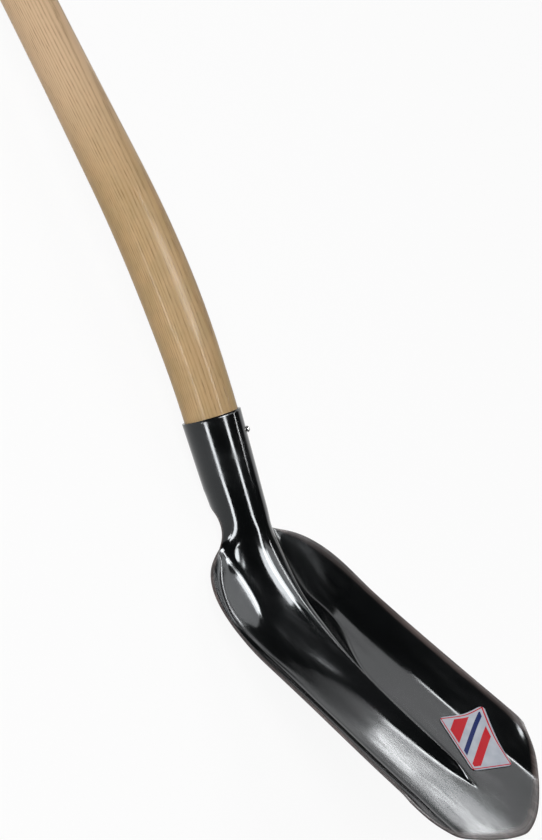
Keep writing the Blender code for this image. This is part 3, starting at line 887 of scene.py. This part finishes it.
def white_floor():
    """A white floor that the camera and shiny surfaces see as paper white, with a soft shadow."""
    material, tree = bare_material("white floor")
    rays = put(tree, "LightPath")
    seen = math_of(tree, "MAXIMUM", rays.outputs["Is Camera Ray"], rays.outputs["Is Glossy Ray"])
    seen = math_of(tree, "MAXIMUM", seen, rays.outputs["Is Transmission Ray"])
    paper = put(tree, "BsdfDiffuse", {"Color": (0.8, 0.8, 0.8, 1)})
    white = put(tree, "Emission", {"Color": (1, 1, 1, 1), "Strength": 1.0})
    share = math_of(tree, "MULTIPLY", seen, FLOOR_WHITENESS)
    both = put(tree, "MixShader", {0: share, 1: paper.outputs[0], 2: white.outputs[0]})
    put(tree, "OutputMaterial", {"Surface": both.outputs[0]})
    reach = Vector((FLOOR_REACH, FLOOR_REACH))
    floor = flat_sheet("floor", -reach, reach, 0, material)


def direction(azimuth, elevation):
    """The way out from the spade, azimuth turned from +X toward +Y, both in degrees."""
    a = math.radians(azimuth)
    e = math.radians(elevation)
    return Vector((math.cos(e) * math.cos(a), math.cos(e) * math.sin(a), math.sin(e)))


def lamp_face(name, place, width, height, brightness, mirrored):
    """A rectangular lamp. At a brightness of 1 it glows like white paper in plain light.

    Where it is mirrored, glossy surfaces show it and it lights no matt ones, and otherwise the reverse.
    """
    light = bpy.data.lights.new(name, "AREA")
    light.shape = "RECTANGLE"
    light.size = width
    light.size_y = height
    light.energy = brightness * math.pi * width * height
    lamp = bpy.data.objects.new(name, light)
    lamp.matrix_world = place
    lamp.visible_camera = False
    lamp.visible_glossy = mirrored
    lamp.visible_diffuse = not mirrored
    bpy.context.scene.collection.objects.link(lamp)


def soft_box(name, target, azimuth, elevation, distance, width, height, brightness, mirrored=True):
    """A lamp aimed at a point of the head from far off. It is seen mirrored, or else it lights the rest."""
    out = direction(azimuth, elevation)
    turn = out.to_track_quat("Z", "Y").to_matrix().to_4x4()
    place = Matrix.Translation(SPADE_PLACE @ target + distance * out) @ turn
    lamp_face(name, place, width, height, brightness, mirrored)


def mirror_box(name, spot, turn, distance, length, width, brightness):
    """A lamp level with the blade's floor, where the camera sees it mirrored at a spot of the floor."""
    lie = Matrix.Translation(spot + distance * MIRROR_WAY) @ Matrix.Rotation(math.radians(turn), 4, "Z")
    lamp_face(name, SPADE_PLACE @ lie, length, width, brightness, True)


def light_the_spade():
    """Lamps that draw the lines and fields in the lacquer, then two that light the rest evenly.

    Each soft box has its target, azimuth, elevation, distance, width, height and brightness, and each mirror
    box its spot, turn, distance, length, width and brightness.
    """
    socket = Vector((-45 * MM, -18 * MM, 80 * MM))
    crest = Vector((25 * MM, 0, 25 * MM))
    foot = Vector((2 * MM, -20 * MM, 31 * MM))
    rib_side = Vector((60 * MM, 33 * MM, 0))
    right_floor = Vector((180 * MM, 23 * MM, 0))
    left_floor = Vector((224 * MM, -44 * MM, 0))
    soft_box("low_strip", socket, -80, 11, 2.0, 0.8, 0.34, 22.0)
    soft_box("foot_box", foot, -99, 4, 2.0, 0.36, 0.28, 22.0)
    soft_box("top_strip", crest, 0, 87, 1.6, 0.26, 1.4, 22.0)
    soft_box("crest_box", crest, 180, 83.5, 1.6, 1.0, 0.52, 19.0)
    soft_box("side_box", crest, 105, 62.5, 2.0, 0.94, 1.17, 2.7)
    soft_box("low_back_box", rib_side, 107, 15, 2.0, 0.9, 0.6, 0.9)
    mirror_box("back_box", right_floor, -22, 0.7, 0.38, 0.18, 1.6)
    mirror_box("glow_box", left_floor, 2, 0.4, 0.135, 0.026, 20.0)
    soft_box("key", socket, -105, 52, 2.5, 1.6, 1.6, 6.5, mirrored=False)
    soft_box("fill", socket, 100, 60, 3.0, 2.0, 2.0, 1.8, mirrored=False)


def black_card():
    """A card held close over the heel's right corner, which keeps the lamps out of it."""
    material, tree = bare_material("black card")
    black = put(tree, "BsdfDiffuse", {"Color": (0.002, 0.002, 0.002, 1)})
    put(tree, "OutputMaterial", {"Surface": black.outputs[0]})
    card = flat_sheet("black_card", CARD_FROM, CARD_TO, CARD_HEIGHT, material)
    card.data.transform(SPADE_PLACE)
    card.visible_camera = False
    card.visible_diffuse = False
    card.visible_shadow = False


def room():
    """A room that is white near the horizon, as a paper sweep is, and dim above it."""
    world = bpy.data.worlds.new("room")
    bpy.context.scene.world = world
    world.use_nodes = True
    tree = world.node_tree
    back = tree.nodes["Background"]
    way = put(tree, "TexCoord").outputs["Generated"]
    height = put(tree, "SeparateXYZ", {"Vector": way}).outputs["Z"]
    low, high = (math.sin(math.radians(angle)) for angle in HORIZON_FADE)
    share = between(tree, height, low, high, 1.0, ROOM_DIMNESS)
    tree.links.new(share, back.inputs["Color"])
    back.inputs["Strength"].default_value = 1.0


def take_camera():
    data = bpy.data.cameras.new("camera")
    data.sensor_width = CAMERA_SENSOR
    data.lens = CAMERA_LENS
    camera = bpy.data.objects.new("camera", data)
    camera.location = CAMERA_PLACE
    camera.rotation_euler = CAMERA_TURN
    bpy.context.scene.collection.objects.link(camera)
    bpy.context.scene.camera = camera


def main():
    clouds = cloud_group()
    relief = relief_group()
    head = make_head(black_lacquer(clouds, relief))
    make_handle(lacquered_ash(clouds, relief))
    make_nail(zinc_plate(clouds, relief))
    make_label(printed_foil(clouds, relief), head)
    white_floor()
    room()
    light_the_spade()
    black_card()
    take_camera()
    bpy.context.scene.view_settings.view_transform = "Standard"


main()
